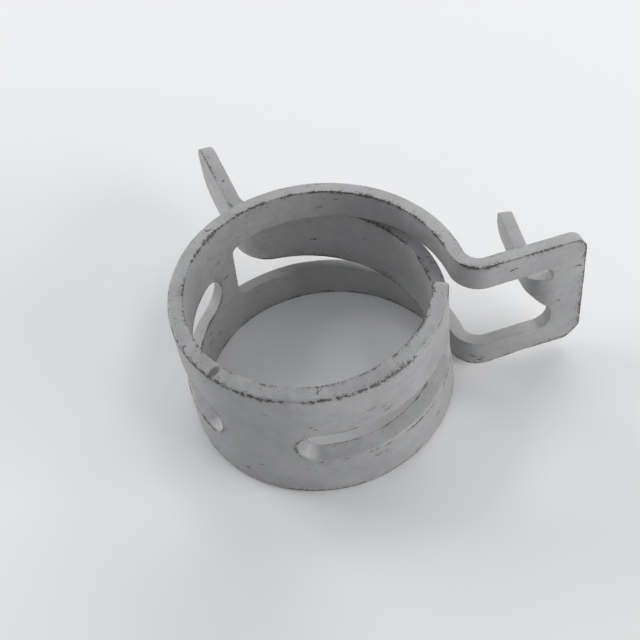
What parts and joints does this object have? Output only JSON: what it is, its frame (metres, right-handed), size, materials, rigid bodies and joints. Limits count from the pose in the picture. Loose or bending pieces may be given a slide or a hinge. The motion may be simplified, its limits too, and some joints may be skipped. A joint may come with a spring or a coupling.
{
  "type": "spring band hose clamp",
  "caption": "Constant-tension spring band hose clamp: a slotted spring steel ring whose tongue passes through a fork, squeezed open with pliers at two tabs.",
  "frame": {"origin": "on the axis of the bore, level with the lower edge of the band", "axes": "+Z along the bore, +X along the end plate of the fork, +Y roughly along the squeeze tab"},
  "size_m": [0.0382, 0.0393, 0.015],
  "materials": {
    "zinc_flake_coat": "matte"
  },
  "bodies": {
    "band_middle": {"band_middle": "zinc_flake_coat"},
    "left_slot_end": {"left_slot_end": "zinc_flake_coat"},
    "left_rails": {"left_upper_rail": "zinc_flake_coat", "left_lower_rail": "zinc_flake_coat"},
    "bridge": {"bridge": "zinc_flake_coat"},
    "arms_back": {"upper_arm_back": "zinc_flake_coat", "lower_arm_back": "zinc_flake_coat"},
    "arms_side": {"upper_arm_side": "zinc_flake_coat", "lower_arm_side": "zinc_flake_coat"},
    "fork": {"upper_fork_arm": "zinc_flake_coat", "lower_fork_arm": "zinc_flake_coat", "fork_plate": "zinc_flake_coat", "stop_finger": "zinc_flake_coat"},
    "right_slot_end": {"right_slot_end": "zinc_flake_coat"},
    "right_rails": {"right_upper_rail": "zinc_flake_coat", "right_lower_rail": "zinc_flake_coat"},
    "shoulder": {"shoulder": "zinc_flake_coat"},
    "tongue_root": {"tongue_root": "zinc_flake_coat"},
    "tongue_middle": {"tongue_middle": "zinc_flake_coat"},
    "tongue_tab": {"tongue_end": "zinc_flake_coat", "tongue_bend": "zinc_flake_coat", "squeeze_tab": "zinc_flake_coat"}
  },
  "joints": [
    {"name": "clamp_opening", "type": "hinge", "parent": "band_middle", "child": "left_slot_end", "pos_m": [-0.01067, -0.00693, 0.0075], "axis": [0, 0, 1], "range_deg": [0, 6.5], "stiffness_Nm_per_rad": 40},
    {"name": "left_rails_flexure", "type": "hinge", "parent": "left_slot_end", "child": "left_rails", "pos_m": [-0.01271, 0.00067, 0.0075], "axis": [0, 0, 1], "range_deg": [0, 6.5]},
    {"name": "bridge_flexure", "type": "hinge", "parent": "left_rails", "child": "bridge", "pos_m": [-0.00989, 0.00801, 0.0075], "axis": [0, 0, 1], "range_deg": [0, 6.5]},
    {"name": "arms_back_flexure", "type": "hinge", "parent": "bridge", "child": "arms_back", "pos_m": [-0.00308, 0.01235, 0.0075], "axis": [0, 0, 1], "range_deg": [0, 6.5]},
    {"name": "arms_side_flexure", "type": "hinge", "parent": "arms_back", "child": "arms_side", "pos_m": [0.00566, 0.01174, 0.0075], "axis": [0, 0, 1], "range_deg": [0, 6.5]},
    {"name": "fork_flexure", "type": "hinge", "parent": "arms_side", "child": "fork", "pos_m": [0.01237, 0.0061, 0.0075], "axis": [0, 0, 1], "range_deg": [0, 6.5]},
    {"name": "right_slot_end_flexure", "type": "hinge", "parent": "band_middle", "child": "right_slot_end", "pos_m": [-0.00538, -0.01153, 0.0075], "axis": [0, 0, -1], "range_deg": [0, 6.5]},
    {"name": "right_rails_flexure", "type": "hinge", "parent": "right_slot_end", "child": "right_rails", "pos_m": [0.00243, -0.01249, 0.0075], "axis": [0, 0, -1], "range_deg": [0, 6.5]},
    {"name": "shoulder_flexure", "type": "hinge", "parent": "right_rails", "child": "shoulder", "pos_m": [0.00931, -0.00868, 0.0075], "axis": [0, 0, -1], "range_deg": [0, 6.5]},
    {"name": "tongue_root_flexure", "type": "hinge", "parent": "shoulder", "child": "tongue_root", "pos_m": [0.0126, -0.00177, 0.0075], "axis": [0, 0, -1], "range_deg": [0, 6.5]},
    {"name": "tongue_middle_flexure", "type": "hinge", "parent": "tongue_root", "child": "tongue_middle", "pos_m": [0.01148, 0.00619, 0.0075], "axis": [0, 0, -1], "range_deg": [0, 6.5]},
    {"name": "tongue_tab_flexure", "type": "hinge", "parent": "tongue_middle", "child": "tongue_tab", "pos_m": [0.00632, 0.01234, 0.0075], "axis": [0, 0, -1], "range_deg": [0, 6.5]}
  ],
  "couplings": [
    {"joint": "left_rails_flexure", "follows": "clamp_opening", "ratio": 1},
    {"joint": "bridge_flexure", "follows": "clamp_opening", "ratio": 1},
    {"joint": "arms_back_flexure", "follows": "clamp_opening", "ratio": 1},
    {"joint": "arms_side_flexure", "follows": "clamp_opening", "ratio": 1},
    {"joint": "fork_flexure", "follows": "clamp_opening", "ratio": 1},
    {"joint": "right_slot_end_flexure", "follows": "clamp_opening", "ratio": 1},
    {"joint": "right_rails_flexure", "follows": "clamp_opening", "ratio": 1},
    {"joint": "shoulder_flexure", "follows": "clamp_opening", "ratio": 1},
    {"joint": "tongue_root_flexure", "follows": "clamp_opening", "ratio": 1},
    {"joint": "tongue_middle_flexure", "follows": "clamp_opening", "ratio": 1},
    {"joint": "tongue_tab_flexure", "follows": "clamp_opening", "ratio": 1}
  ]
}
